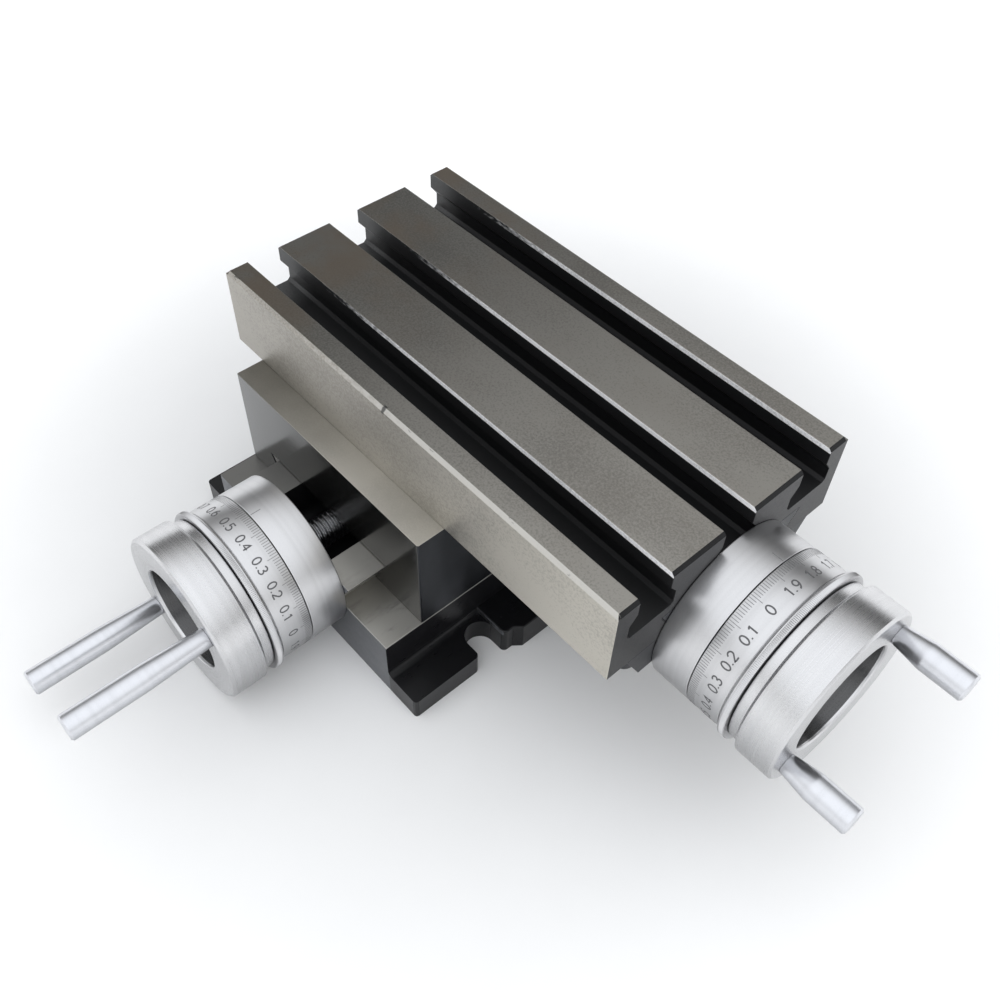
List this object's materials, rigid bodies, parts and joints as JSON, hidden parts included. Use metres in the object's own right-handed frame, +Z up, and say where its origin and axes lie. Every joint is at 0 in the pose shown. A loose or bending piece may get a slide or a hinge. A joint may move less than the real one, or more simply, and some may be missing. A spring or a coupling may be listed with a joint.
{
  "type": "cross slide table",
  "caption": "Compound cross slide table for a small mill or drill: T-slotted table over a saddle on dovetail ways, driven by leadscrews with graduated dials and satin handwheels.",
  "frame": {"origin": "centre of the base's bottom face", "axes": "+X along the table's travel towards its handwheel, +Y along the saddle's travel away from its handwheel, +Z up"},
  "size_m": [0.2779, 0.2813, 0.1078],
  "materials": {
    "machined_iron": "ground and machined",
    "satin_aluminium": "satin turned",
    "handle_steel": "bright turned",
    "screw_steel": "machined",
    "blackened_steel": "blackened",
    "nut_bronze": "machined bronze",
    "spring_steel": "spring steel"
  },
  "bodies": {
    "base": {"base_casting": "machined_iron", "y_bearing_flange": "satin_aluminium", "y_flange_screws": "blackened_steel"},
    "saddle": {"saddle_casting": "machined_iron", "y_gib": "machined_iron", "y_gib_screws": "blackened_steel", "y_gib_locknuts": "blackened_steel", "x_nut": "nut_bronze", "x_nut_screws": "blackened_steel", "y_nut": "nut_bronze", "y_nut_screws": "blackened_steel"},
    "table": {"table_casting": "machined_iron", "x_end_bracket": "machined_iron", "x_bracket_screws": "blackened_steel", "x_bearing_flange": "satin_aluminium", "x_flange_screws": "blackened_steel", "x_gib": "machined_iron", "x_gib_screws": "blackened_steel", "x_gib_locknuts": "blackened_steel"},
    "x_spindle": {"x_leadscrew": "screw_steel", "x_handwheel": "satin_aluminium", "x_handle_a": "handle_steel", "x_handle_b": "handle_steel", "x_thrust_washers": "nut_bronze", "x_wheel_key": "screw_steel", "x_wheel_washer": "screw_steel", "x_wheel_nut": "blackened_steel", "x_dial_spring": "spring_steel"},
    "y_spindle": {"y_leadscrew": "screw_steel", "y_handwheel": "satin_aluminium", "y_handle_a": "handle_steel", "y_handle_b": "handle_steel", "y_thrust_washers": "nut_bronze", "y_wheel_key": "screw_steel", "y_wheel_washer": "screw_steel", "y_wheel_nut": "blackened_steel", "y_dial_spring": "spring_steel"},
    "x_dial": {"x_dial": "satin_aluminium"},
    "y_dial": {"y_dial": "satin_aluminium"}
  },
  "joints": [
    {"name": "saddle_slide", "type": "slide", "parent": "base", "child": "saddle", "axis": [0, 1, 0], "range_m": [-0.016, 0.044]},
    {"name": "table_slide", "type": "slide", "parent": "saddle", "child": "table", "axis": [1, 0, 0], "range_m": [-0.062, 0.034]},
    {"name": "y_wheel_turn", "type": "hinge", "parent": "base", "child": "y_spindle", "pos_m": [0, -0.09, 0.0338], "axis": [0, -1, 0], "range_deg": [-7920, 2880]},
    {"name": "x_wheel_turn", "type": "hinge", "parent": "table", "child": "x_spindle", "pos_m": [0.1304, -0.009, 0.0681], "axis": [1, 0, 0], "range_deg": [-11160, 6120]},
    {"name": "y_dial_turn", "type": "hinge", "parent": "y_spindle", "child": "y_dial", "pos_m": [0, -0.09, 0.0338], "axis": [0, -1, 0], "continuous": true},
    {"name": "x_dial_turn", "type": "hinge", "parent": "x_spindle", "child": "x_dial", "pos_m": [0.1304, -0.009, 0.0681], "axis": [1, 0, 0], "continuous": true}
  ],
  "couplings": [
    {"joint": "y_wheel_turn", "follows": "saddle_slide", "rad_per_m": -3141.6},
    {"joint": "x_wheel_turn", "follows": "table_slide", "rad_per_m": 3141.6}
  ]
}
